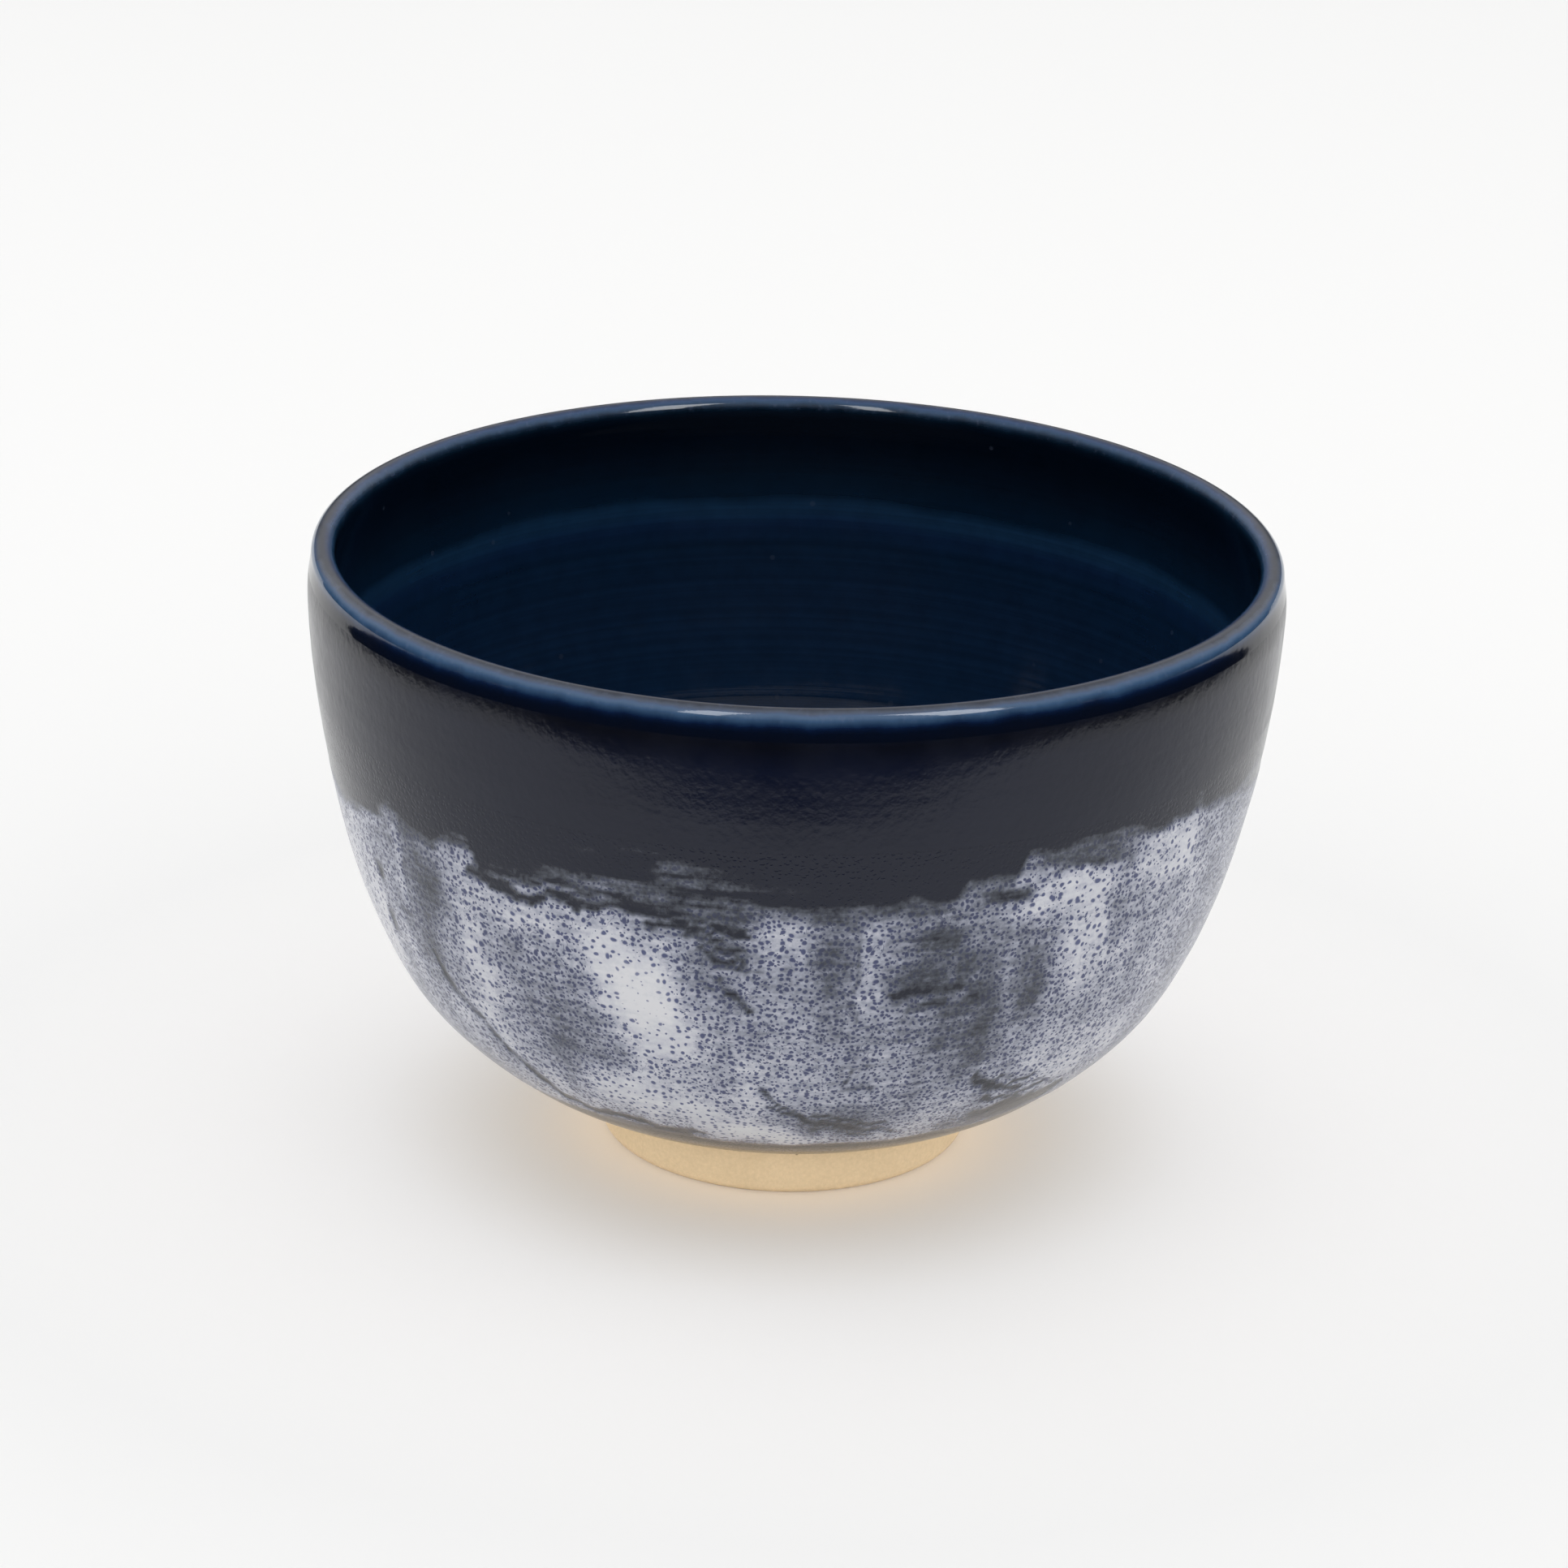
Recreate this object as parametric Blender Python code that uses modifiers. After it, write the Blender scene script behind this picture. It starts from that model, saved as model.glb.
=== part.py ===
"""Matcha bowl: a thrown stoneware bowl on a turned foot ring, with its glazes as coats of their own.

Metres, +Z up. The origin is the centre of the plane that the foot rests on.
"""

import math

import bmesh
import bpy
import numpy as np

# Driving dimensions
HEIGHT = 0.0778
LIP_THICKNESS = 0.0030
LIP_CENTRE_RADIUS = 0.05805
FOOT_OUTER_RADIUS = 0.0231
FOOT_INNER_RADIUS = 0.0172
FOOT_TOP_RADIUS = 0.0241
FOOT_HEIGHT = 0.0068
FOOT_WAIST_RADIUS = 0.0233
FOOT_WAIST_HEIGHT = 0.0050
FOOT_EDGE_ROUNDING = 0.0011
COAT = 0.00045
GAP = 0.0003

# The outside of the finished wall, from under the lip to the joint with the foot: radius, height
WALL_OUTSIDE = (
    (0.0600, 0.0712),
    (0.0591, 0.0600),
    (0.0570, 0.0480),
    (0.0535, 0.0352),
    (0.0475, 0.0228),
    (0.0390, 0.0141),
    (0.0315, 0.0096),
    (0.0264, 0.0083),
    (0.0241, 0.0070),
)

# The inside of the finished wall, from under the lip to the middle of the floor
WALL_INSIDE = (
    (0.0567, 0.0712),
    (0.0554, 0.0600),
    (0.0531, 0.0480),
    (0.0491, 0.0352),
    (0.0416, 0.0232),
    (0.0290, 0.0160),
    (0.0140, 0.0137),
    (0.0, 0.0132),
)

# Where each coat ends: the lip glaze by its travel down each side from the crest of the lip
LIP_GLAZE_REACH = 0.0044
DARK_GLAZE_FOOT_END_RADIUS = 0.0285
WHITE_GLAZE_LOWER_END = 0.0146
WHITE_GLAZE_UPPER_END = 0.0548

# The white coat's top edge rises and dips round the bowl in waves: how many, how high, how far turned
BRUSH_WAVES = ((1, 0.0022, -0.2), (3, 0.0012, 0.5), (7, 0.0006, 0.0))

# The dark coat lies deeper where the white one covers it, so that both stay inside the outline
DARK_FULL_SIZE_ABOVE = 0.0640
DARK_SET_BACK_BELOW = 0.0490

# Resolution
SIDES = 60
CURVE_SAMPLES = 60
WALL_POINTS = 14
BARE_POINTS = 4
LIP_POINTS = 9
WHITE_ROWS = 9


# Outlines


def smooth_through(points):
    """A dense Catmull-Rom curve through the points."""
    points = np.array(points)
    knots = np.array([2 * points[0] - points[1], *points, 2 * points[-1] - points[-2]])
    share = np.linspace(0, 1, CURVE_SAMPLES, endpoint=False)[:, None]
    pieces = []
    for a, b, c, d in zip(knots, knots[1:], knots[2:], knots[3:]):
        pieces.append(
            b
            + share * (c - a) / 2
            + share**2 * (a - 2.5 * b + 2 * c - d / 2)
            + share**3 * (1.5 * (b - c) + (d - a) / 2)
        )
    return np.concatenate([*pieces, knots[-2:-1]])


def lip_arc():
    """The round top of the lip, from its inner side over to its outer side."""
    angles = np.linspace(math.pi, 0, CURVE_SAMPLES)
    radius = LIP_THICKNESS / 2
    return np.stack(
        [
            LIP_CENTRE_RADIUS + radius * np.cos(angles),
            HEIGHT - radius + radius * np.sin(angles),
        ],
        axis=1,
    )


def finished_outline():
    """The glazed surface from the middle of the floor, up the inside, over the lip and down to the foot."""
    lip = lip_arc()
    inside = smooth_through([lip[0], *WALL_INSIDE])[::-1]
    outside = smooth_through([lip[-1], *WALL_OUTSIDE])
    return np.concatenate([inside[:-1], lip, outside[1:]])


def set_in(outline, depth):
    """The outline moved into the wall by a depth, which may differ from point to point."""
    along = np.gradient(outline, axis=0)
    along /= np.linalg.norm(along, axis=1)[:, None]
    into_wall = np.stack([along[:, 1], -along[:, 0]], axis=1)
    moved = outline + into_wall * np.broadcast_to(depth, len(outline))[:, None]
    moved[0, 0] = outline[0, 0]
    return moved


OUTLINE = finished_outline()
TRAVEL = np.concatenate([[0], np.cumsum(np.linalg.norm(np.diff(OUTLINE, axis=0), axis=1))])
TOP = int(np.argmax(OUTLINE[:, 1]))
LIP_START, LIP_END = TRAVEL[TOP] - LIP_GLAZE_REACH, TRAVEL[TOP] + LIP_GLAZE_REACH


def outside_at(height):
    """The travel along the outline at which its outer side has this height."""
    return float(np.interp(-height, -OUTLINE[TOP:, 1], TRAVEL[TOP:]))


def under_at(radius):
    """The travel along the outline at which its underside has this radius."""
    tail = OUTLINE[:, 1] < WHITE_GLAZE_LOWER_END
    tail &= TRAVEL > TRAVEL[TOP]
    return float(np.interp(-radius, -OUTLINE[tail, 0], TRAVEL[tail]))


def stretch(depth, start, end, count):
    """Points of the set-in outline at even steps between two travels."""
    travels = np.linspace(start, end, count)
    line = set_in(OUTLINE, depth)
    return np.stack([np.interp(travels, TRAVEL, line[:, axis]) for axis in (0, 1)], axis=1)


def dark_depth():
    """How far the dark coat's outer face lies inside the outline: a soft step under the white coat."""
    fall = (DARK_FULL_SIZE_ABOVE - OUTLINE[:, 1]) / (DARK_FULL_SIZE_ABOVE - DARK_SET_BACK_BELOW)
    fall = np.clip(fall, 0, 1) * (TRAVEL > TRAVEL[TOP])
    return (COAT + GAP) * fall**2 * (3 - 2 * fall)


def clay_depth():
    """How far the clay lies inside the outline: under one coat, or under two."""
    return COAT + GAP + dark_depth()


# Scene helpers


def clear_scene():
    for obj in list(bpy.data.objects):
        bpy.data.objects.remove(obj)


def new_collection():
    parts = bpy.data.collections.new("matcha_bowl")
    bpy.context.scene.collection.children.link(parts)
    return parts


def glaze_material(name, colour, roughness):
    material = bpy.data.materials.new(name)
    material.use_nodes = True
    shader = material.node_tree.nodes["Principled BSDF"]
    shader.inputs["Base Color"].default_value = (*colour, 1)
    shader.inputs["Roughness"].default_value = roughness
    shader.inputs["Metallic"].default_value = 0
    return material


def add_object(name, mesh, material):
    mesh.materials.append(material)
    obj = bpy.data.objects.new(name, mesh)
    PARTS.objects.link(obj)
    return obj


def turned(name, profile, material, closed):
    """A profile of radius and height turned about +Z. An open profile starts and ends on the axis."""
    points = [(radius, 0, height) for radius, height in profile]
    edges = [(i, i + 1) for i in range(len(points) - 1)]
    if closed:
        edges.append((len(points) - 1, 0))
    mesh = bpy.data.meshes.new(name)
    mesh.from_pydata(points, edges, [])
    obj = add_object(name, mesh, material)
    screw = obj.modifiers.new("turn", "SCREW")
    screw.steps = screw.render_steps = SIDES
    screw.use_merge_vertices = True
    screw.merge_threshold = 0.00001
    screw.use_smooth_shade = True
    return obj


# Pieces


def add_clay_body(material):
    """The thrown wall and floor, all of it but the foot ring. It is bare below the dark coat."""
    coat_end = under_at(DARK_GLAZE_FOOT_END_RADIUS)
    underside = FOOT_HEIGHT + GAP
    profile = [
        *stretch(clay_depth(), 0, LIP_START, WALL_POINTS)[:-1],
        *stretch(clay_depth(), LIP_START, LIP_END, LIP_POINTS),
        *stretch(clay_depth(), LIP_END, coat_end + GAP, WALL_POINTS)[1:],
        *stretch(0, coat_end + 2 * GAP, outside_at(underside), BARE_POINTS),
        (0, underside),
    ]
    return turned("clay_body", profile, material, closed=False)


def add_foot_ring(material):
    """The turned ring of bare clay, with softened edges where it stands."""
    turns = np.linspace(0, math.pi / 2, 4)
    inset = FOOT_EDGE_ROUNDING * (1 - np.cos(turns))
    rise = FOOT_EDGE_ROUNDING * (1 - np.sin(turns))
    profile = [
        (FOOT_TOP_RADIUS, FOOT_HEIGHT),
        (FOOT_WAIST_RADIUS, FOOT_WAIST_HEIGHT),
        *zip(FOOT_OUTER_RADIUS - inset, rise),
        *zip((FOOT_INNER_RADIUS + inset)[::-1], rise[::-1]),
        (FOOT_INNER_RADIUS, FOOT_HEIGHT),
    ]
    return turned("foot_ring", profile, material, closed=True)


def add_inner_glaze(material):
    """The lining of the inside, floor and wall, up to the lip glaze."""
    face = stretch(0, 0, LIP_START - GAP, WALL_POINTS)
    back = stretch(COAT, 0, LIP_START - GAP, WALL_POINTS)[::-1]
    return turned("inner_glaze", [*face, *back], material, closed=False)


def add_lip_glaze(material):
    """The glaze that rolls over the lip, from inside to outside."""
    face = stretch(0, LIP_START, LIP_END, LIP_POINTS)
    back = stretch(COAT, LIP_START, LIP_END, LIP_POINTS)[::-1]
    return turned("lip_glaze", [*face, *back], material, closed=True)


def add_outer_dark_glaze(material):
    """The dipped coat from below the lip to just above the foot."""
    start = LIP_END + GAP
    end = under_at(DARK_GLAZE_FOOT_END_RADIUS)
    face = stretch(dark_depth(), start, end, WALL_POINTS)
    back = stretch(dark_depth() + COAT, start, end, WALL_POINTS)[::-1]
    return turned("outer_dark_glaze", [*face, *back], material, closed=True)


def white_upper_end(azimuth):
    """The height of the brushed top edge. The front is azimuth 0."""
    waves = (high * math.sin(count * azimuth + turn) for count, high, turn in BRUSH_WAVES)
    return WHITE_GLAZE_UPPER_END + sum(waves)


def add_white_brushed_glaze(material):
    """The white coat brushed over the lower half of the dark one: a wrapped grid, made solid."""
    mesh = bpy.data.meshes.new("white_brushed_glaze")
    grid = bmesh.new()
    bmesh.ops.create_grid(grid, x_segments=SIDES, y_segments=WHITE_ROWS, size=0.5)
    inner_face = set_in(OUTLINE, dark_depth() - GAP)
    low = outside_at(WHITE_GLAZE_LOWER_END)
    for vertex in grid.verts:
        azimuth = (vertex.co.x + 0.5) * 2 * math.pi
        high = outside_at(white_upper_end(azimuth))
        travel = low + (vertex.co.y + 0.5) * (high - low)
        radius, height = (float(np.interp(travel, TRAVEL, inner_face[:, axis])) for axis in (0, 1))
        vertex.co = (radius * math.sin(azimuth), -radius * math.cos(azimuth), height)
    bmesh.ops.remove_doubles(grid, verts=grid.verts, dist=0.00001)
    bmesh.ops.recalc_face_normals(grid, faces=grid.faces)
    grid.to_mesh(mesh)
    grid.free()
    mesh.shade_smooth()
    obj = add_object("white_brushed_glaze", mesh, material)
    solid = obj.modifiers.new("coat", "SOLIDIFY")
    solid.thickness = COAT
    solid.offset = 1
    return obj


clear_scene()
PARTS = new_collection()
CLAY = glaze_material("clay", (0.62, 0.50, 0.33), 0.85)
NAVY = glaze_material("navy_glaze", (0.006, 0.022, 0.060), 0.08)
LIP_BLUE = glaze_material("lip_blue_glaze", (0.035, 0.075, 0.140), 0.18)
DARK = glaze_material("dark_glaze", (0.020, 0.025, 0.035), 0.35)
WHITE = glaze_material("white_glaze", (0.52, 0.54, 0.62), 0.40)

add_clay_body(CLAY)
add_foot_ring(CLAY)
add_inner_glaze(NAVY)
add_lip_glaze(LIP_BLUE)
add_outer_dark_glaze(DARK)
add_white_brushed_glaze(WHITE)
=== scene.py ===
"""Looks of a thrown matcha bowl: navy inside, dark satin outside, a white coat brushed over the lower half,
and a bare cream foot.

Metres, +Z up. Azimuth is in degrees: 0 is the front, towards -Y, and it grows towards +X. Travel is the
distance along the outline, from the middle of the floor up the inside, over the lip and down to the foot.
"""

import math

import bpy
import numpy as np
from mathutils import Matrix, Vector


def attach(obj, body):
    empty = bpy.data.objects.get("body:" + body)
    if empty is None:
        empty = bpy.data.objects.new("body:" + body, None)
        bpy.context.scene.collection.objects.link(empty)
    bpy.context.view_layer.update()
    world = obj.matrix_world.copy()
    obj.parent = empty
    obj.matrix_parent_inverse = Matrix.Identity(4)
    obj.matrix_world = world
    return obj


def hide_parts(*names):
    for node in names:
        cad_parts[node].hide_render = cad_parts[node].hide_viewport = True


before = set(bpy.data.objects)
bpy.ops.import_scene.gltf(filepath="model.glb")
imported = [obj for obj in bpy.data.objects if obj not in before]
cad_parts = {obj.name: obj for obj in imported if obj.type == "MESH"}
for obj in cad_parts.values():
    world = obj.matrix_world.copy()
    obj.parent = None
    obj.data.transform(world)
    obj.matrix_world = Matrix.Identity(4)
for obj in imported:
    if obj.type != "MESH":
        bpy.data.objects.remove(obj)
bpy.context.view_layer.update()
MM = 0.001

# Sizes of the finished bowl, as in the CAD model
HEIGHT = 0.0778
LIP_THICKNESS = 0.0030
LIP_CENTRE_RADIUS = 0.05805
WALL_OUTSIDE = (
    (0.0600, 0.0712),
    (0.0591, 0.0600),
    (0.0570, 0.0480),
    (0.0535, 0.0352),
    (0.0475, 0.0228),
    (0.0390, 0.0141),
    (0.0315, 0.0096),
    (0.0264, 0.0083),
    (0.0241, 0.0070),
)
WALL_INSIDE = (
    (0.0567, 0.0712),
    (0.0554, 0.0600),
    (0.0531, 0.0480),
    (0.0491, 0.0352),
    (0.0416, 0.0232),
    (0.0290, 0.0160),
    (0.0140, 0.0137),
    (0.0, 0.0132),
)
FOOT_OUTER_RADIUS = 0.0231
FOOT_INNER_RADIUS = 0.0172
FOOT_WAIST_RADIUS = 0.0233
FOOT_WAIST_HEIGHT = 0.0050
FOOT_EDGE_ROUNDING = 0.0011
# The foot's outside, from its top, which is buried in the body, down to its rounded edge
FOOT_TOP = 0.0074
FOOT_OUTSIDE = (
    (0.0247, FOOT_TOP),
    (0.0240, 0.0067),
    (FOOT_WAIST_RADIUS, FOOT_WAIST_HEIGHT),
    (FOOT_OUTER_RADIUS, 0.0028),
    (FOOT_OUTER_RADIUS, FOOT_EDGE_ROUNDING),
)
RECESS_CEILING = 0.0071
BODY_END_RADIUS = 0.0244
BELLY_HEIGHT = 0.030

# The coats: how thick, and where each ends
COAT = 0.0005
LIP_GLAZE_REACH = 0.0044
WHITE_MESH_TOP = 0.0605
WHITE_MESH_LOW_RADIUS = 0.0340
DARK_END_RADIUS = 0.0287

# How finely the meshes are divided: columns round the bowl, and samples in each span of an outline
CURVE_SAMPLES = 80
CLAY_COLUMNS = 360
LINING_COLUMNS = 480
LIP_COLUMNS = 720
DARK_COLUMNS = 600
WHITE_COLUMNS = 900


# The outline, from the middle of the floor up the inside, over the lip and down to the foot


def smooth_through(points):
    """A dense Catmull-Rom curve through the points."""
    points = np.array(points)
    knots = np.array([2 * points[0] - points[1], *points, 2 * points[-1] - points[-2]])
    share = np.linspace(0, 1, CURVE_SAMPLES, endpoint=False)[:, None]
    pieces = []
    for a, b, c, d in zip(knots, knots[1:], knots[2:], knots[3:]):
        pieces.append(
            b
            + share * (c - a) / 2
            + share**2 * (a - 2.5 * b + 2 * c - d / 2)
            + share**3 * (1.5 * (b - c) + (d - a) / 2)
        )
    return np.concatenate([*pieces, knots[-2:-1]])


def finished_outline():
    """Points (radius, height) of the finished surface, without the foot ring."""
    angles = np.linspace(math.pi, 0, CURVE_SAMPLES + 1)
    half = LIP_THICKNESS / 2
    lip = np.stack([LIP_CENTRE_RADIUS + half * np.cos(angles), HEIGHT - half + half * np.sin(angles)], axis=1)
    inside = smooth_through([lip[0], *WALL_INSIDE])[::-1]
    outside = smooth_through([lip[-1], *WALL_OUTSIDE])
    return np.concatenate([inside[:-1], lip, outside[1:]])


def outward_normals(outline):
    """The unit normals of the outline. On the axis it points straight up."""
    along = np.gradient(outline, axis=0)
    along /= np.linalg.norm(along, axis=1)[:, None]
    normals = np.stack([-along[:, 1], along[:, 0]], axis=1)
    normals[0] = (0, 1)
    return normals


OUTLINE = finished_outline()
NORMALS = outward_normals(OUTLINE)
TRAVEL = np.concatenate([[0], np.cumsum(np.linalg.norm(np.diff(OUTLINE, axis=0), axis=1))])
TOP = int(np.argmax(OUTLINE[:, 1]))
CREST = TRAVEL[TOP]
LIP_START, LIP_END = CREST - LIP_GLAZE_REACH, CREST + LIP_GLAZE_REACH


def outside_at(height):
    """The travel at which the outer side has this height."""
    return float(np.interp(-height, -OUTLINE[TOP:, 1], TRAVEL[TOP:]))


def under_at(radius):
    """The travel at which the outer side, below the belly, has this radius."""
    tail = TRAVEL > outside_at(BELLY_HEIGHT)
    return float(np.interp(-radius, -OUTLINE[tail, 0], TRAVEL[tail]))


def at_travel(travel, table):
    """A row of the table, the outline or its normals, at each travel."""
    return np.stack([np.interp(travel, TRAVEL, table[:, axis]) for axis in (0, 1)], axis=-1)


# Noise on the bowl: a lattice that closes round the azimuth, up to this height

NOISE_HEIGHT = 0.100


def soft_step(value, start, end):
    """0 at start, 1 at end, smooth between them."""
    share = np.clip((value - start) / (end - start), 0, 1)
    return share * share * (3 - 2 * share)


def ring_noise(azimuth, height, cells, cell_height, seed):
    """Smooth noise from -1 to 1, with so many cells round the bowl and cells so high."""
    rows = int(NOISE_HEIGHT / cell_height) + 4
    lattice = np.random.default_rng(seed).random((rows, cells))
    u = (azimuth / 360) % 1 * cells
    v = np.clip(height, 0, NOISE_HEIGHT - MM) / cell_height + 1
    column, row = np.floor(u).astype(int), np.floor(v).astype(int)
    across, up = u - column, v - row
    across, up = across * across * (3 - 2 * across), up * up * (3 - 2 * up)
    left, right = column % cells, (column + 1) % cells
    low = lattice[row, left] * (1 - across) + lattice[row, right] * across
    high = lattice[row + 1, left] * (1 - across) + lattice[row + 1, right] * across
    return (low * (1 - up) + high * up) * 2 - 1


def around(azimuth, centre):
    """The signed angle from centre, in degrees."""
    return (azimuth - centre + 180) % 360 - 180


# The white coat as it was brushed: azimuth, height mm, half width deg, half height mm, lean deg/mm,
# how thick it lies there, softness of the edge
DABS = (
    (-71, 35, 8, 18, 0.0, 0.80, 0.8),
    (-64.5, 37, 2.5, 9, 0.0, 0.82, 0.7),
    (-61.5, 44, 0.9, 1.6, 0.0, 0.10, 0.9),
    (-61.5, 36.5, 0.9, 2.2, 0.0, 0.10, 0.9),
    (-52, 43, 5.5, 14, 0.0, 0.32, 0.8),
    (-55, 47, 1.2, 7, 0.0, 0.58, 0.8),
    (-48, 47, 3, 5, 0.0, 0.26, 0.9),
    (-42, 37, 2.2, 13, 0.05, 0.74, 0.8),
    (-32, 34, 7, 12, -0.1, 0.43, 0.8),
    (-31, 25, 2.5, 4, 0.0, 0.36, 0.9),
    (-33, 47, 7.5, 2.3, 0.0, 0.72, 0.8),
    (-17.5, 39.5, 7.0, 11.0, -0.30, 1.0, 0.9),
    (-17, 22.5, 16, 5.5, 0.0, 0.80, 0.8),
    (-38, 21, 5, 3, 0.0, 0.60, 0.8),
    (-7.5, 47, 3.5, 3.0, 0.0, 0.50, 0.8),
    (0, 48.5, 4, 5, 0.0, 0.58, 0.7),
    (-1, 36, 7, 9, 0.0, 0.55, 0.9),
    (5.5, 43.0, 2.8, 11.0, -0.08, 0.36, 0.9),
    (9.8, 46.0, 1.6, 7.6, -0.13, 0.62, 0.9),
    (16, 50.5, 5, 2, 0.0, 0.45, 0.8),
    (17, 44.5, 5.5, 7.5, 0.0, 0.38, 0.9),
    (24, 38, 5.8, 13, 0.05, 0.28, 0.8),
    (25, 35, 2.5, 7, 0.0, 0.22, 0.9),
    (17.5, 48.6, 4.8, 1.7, 0.1, 0.22, 0.95),
    (16, 43, 5.0, 2.6, 0.1, 0.24, 0.95),
    (31, 41, 3, 9, -0.12, 0.33, 0.8),
    (29, 51.5, 3, 2.2, 0.0, 0.74, 0.7),
    (38.6, 43.0, 4.0, 8.5, -0.18, 0.72, 0.45),
    (36.5, 52, 6.5, 3.2, 0.0, 0.74, 0.6),
    (43, 46.5, 1.7, 2.4, 0.0, 0.45, 0.9),
    (50, 53.5, 6.5, 4.5, 0.0, 0.76, 0.6),
    (50, 39, 8, 9, 0.0, 0.62, 0.9),
    (47, 26, 12, 5, 0.0, 0.74, 0.8),
    (12, 27, 9, 5.5, 0.0, 0.52, 0.9),
    (22, 20, 6, 3, 0.0, 0.64, 0.8),
    (-3, 17.6, 10, 2.2, 0.0, 0.92, 0.8),
    (-25, 15.6, 14, 1.5, 0.0, 0.38, 0.8),
    (8, 21.2, 10, 3.6, -0.4, 0.31, 0.9),
    (-48, 54.5, 9, 2.8, 0.0, 0.28, 0.8),
    (-28, 53.8, 7, 2.4, 0.0, 0.24, 0.7),
    (-17, 54.2, 8, 2.6, 0.0, 0.28, 0.7),
    (-7, 52.6, 4, 2.8, 0.0, 0.24, 0.7),
    (3, 53.0, 6.5, 1.7, 0.0, 0.27, 0.8),
    (14, 52.6, 6.5, 2.0, 0.0, 0.30, 0.8),
    (23.5, 55.8, 3, 1.0, 0.0, 0.44, 0.7),
    (25.5, 53.6, 3.6, 1.3, 0.0, 0.10, 0.7),
    (35, 57.8, 8.5, 2.0, 0.0, 0.27, 0.7),
    (37, 55.8, 6, 0.9, 0.0, 0.17, 0.8),
    (39, 17.4, 9, 2.0, 0.0, 0.24, 0.9),
    (70, 40, 8, 16, 0.0, 0.55, 0.9),
)
# Strokes where the brush left little or nothing: its path in azimuth and height mm, half width, how much less
STROKES = (
    (((-51, 36), (-49.5, 32), (-45, 27.3), (-40.5, 23), (-38.5, 20), (-36.5, 17.8)), 0.5, 0.36),
    (((-39.5, 22), (-38, 19.4), (-36, 17.6)), 0.7, 0.28),
    (((-37, 17.6), (-25, 17.4), (-12, 16.4)), 0.5, 0.55),
    (((-2.5, 26.6), (0, 24.4), (4, 21.8)), 0.40, 0.36),
    (((-1, 23.4), (5, 21.0), (11, 19.2), (19, 16.8)), 0.42, 0.40),
    (((3, 20.4), (9, 18.6), (15, 16.8)), 0.30, 0.24),
    (((5, 22.6), (10, 21.2), (17, 18.6)), 0.26, 0.24),
    (((27.2, 26.4), (28.2, 24.8), (30.5, 24.0)), 0.40, 0.65),
    (((29.5, 23.6), (33, 22.8), (36.2, 22.6)), 0.42, 0.70),
    (((33, 24.1), (36, 24.3), (38, 24.8)), 0.28, 0.60),
    (((31, 25.2), (33.4, 24.8)), 0.24, 0.45),
    (((30, 21.8), (33, 21.2), (35.5, 21.4)), 0.30, 0.55),
    (((34, 20.3), (38, 21.2), (41.5, 21.6)), 0.28, 0.45),
    (((37, 23.1), (40.5, 22.5), (44, 21.9)), 0.26, 0.34),
    (((36, 20.0), (40, 19.8), (46, 19.8)), 0.45, 0.40),
    (((31, 18.9), (38, 19.0), (46, 18.4)), 0.9, 0.40),
    (((-7.4, 43.5), (-6.4, 41), (-5, 38.4)), 0.30, 0.34),
    (((-10.5, 47.4), (-5, 45.2)), 0.30, 0.34),
    (((-12, 48.8), (-8, 47.6), (-5.2, 46.4)), 0.30, 0.32),
    (((-16, 50.2), (-9, 49.0), (-5.6, 47.8)), 0.34, 0.42),
    (((-40, 51.0), (-33, 50.3), (-25.5, 50.6)), 0.55, 0.75),
    (((-26.5, 51.2), (-18, 51.8), (-9, 50.6), (-5, 49.4)), 0.36, 0.50),
    (((-39, 52.6), (-30, 52.2), (-20, 52.8), (-7, 52.4)), 0.30, 0.26),
    (((9, 30), (8, 27.8), (12, 27.2)), 0.4, 0.25),
    (((7.6, 51), (8.2, 44), (9.2, 38)), 0.30, 0.14),
    (((12, 41.2), (17, 41.4), (21, 41.8)), 0.4, 0.35),
    (((15, 39.0), (19, 39.4)), 0.4, 0.28),
)
# The brushed top edge: azimuth and height mm
TOP_EDGE = (
    (-180, 54), (-150, 52.5), (-120, 55), (-98, 52.8), (-80, 51), (-70, 51), (-64, 52), (-58, 53.4),
    (-55, 56.0), (-51, 54.4), (-46.5, 52.8), (-44.5, 55.2), (-40, 54.8), (-38.4, 52.4), (-34, 52.6),
    (-30, 54.4), (-21, 55.8), (-12, 55.8), (-6, 54.8), (-3, 53.8), (3, 54.0), (12, 53.8), (19, 53.8),
    (21, 55.8), (26.5, 56.4), (28, 58.8), (36, 59.2), (42.5, 58.8), (44, 58.2), (55, 58.2), (64, 56.4),
    (80, 54), (105, 55.5), (130, 53), (155, 55), (180, 54),
)
# How much the brush left above that edge: azimuth, amount
TOP_VEIL = (
    (-180, 0.2), (-130, 0.4), (-80, 0.1), (-62, 0.0), (-38, 0.0), (-26, 0.12), (-14, 0.24),
    (-4, 0.08), (8, 0.0), (55, 0.0), (80, 0.3), (120, 0.4), (150, 0.1), (180, 0.2),
)
# The height mm of the lower edge
LOW_EDGE = 15.3
# The broad thick load that closes the round: azimuth, half width and how much that varies, amount
LAST_LOAD, LOAD_HALF_WIDTH, LOAD_SWING, LOAD_COAT = 180, 6.5, 4.0, 1.2
# The coat's amount between dabs, where a stroke has bared it, and at the most
USUAL_COAT = 0.54
BARED_COAT = 0.09
HEAVIEST_COAT = 1.25


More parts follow.
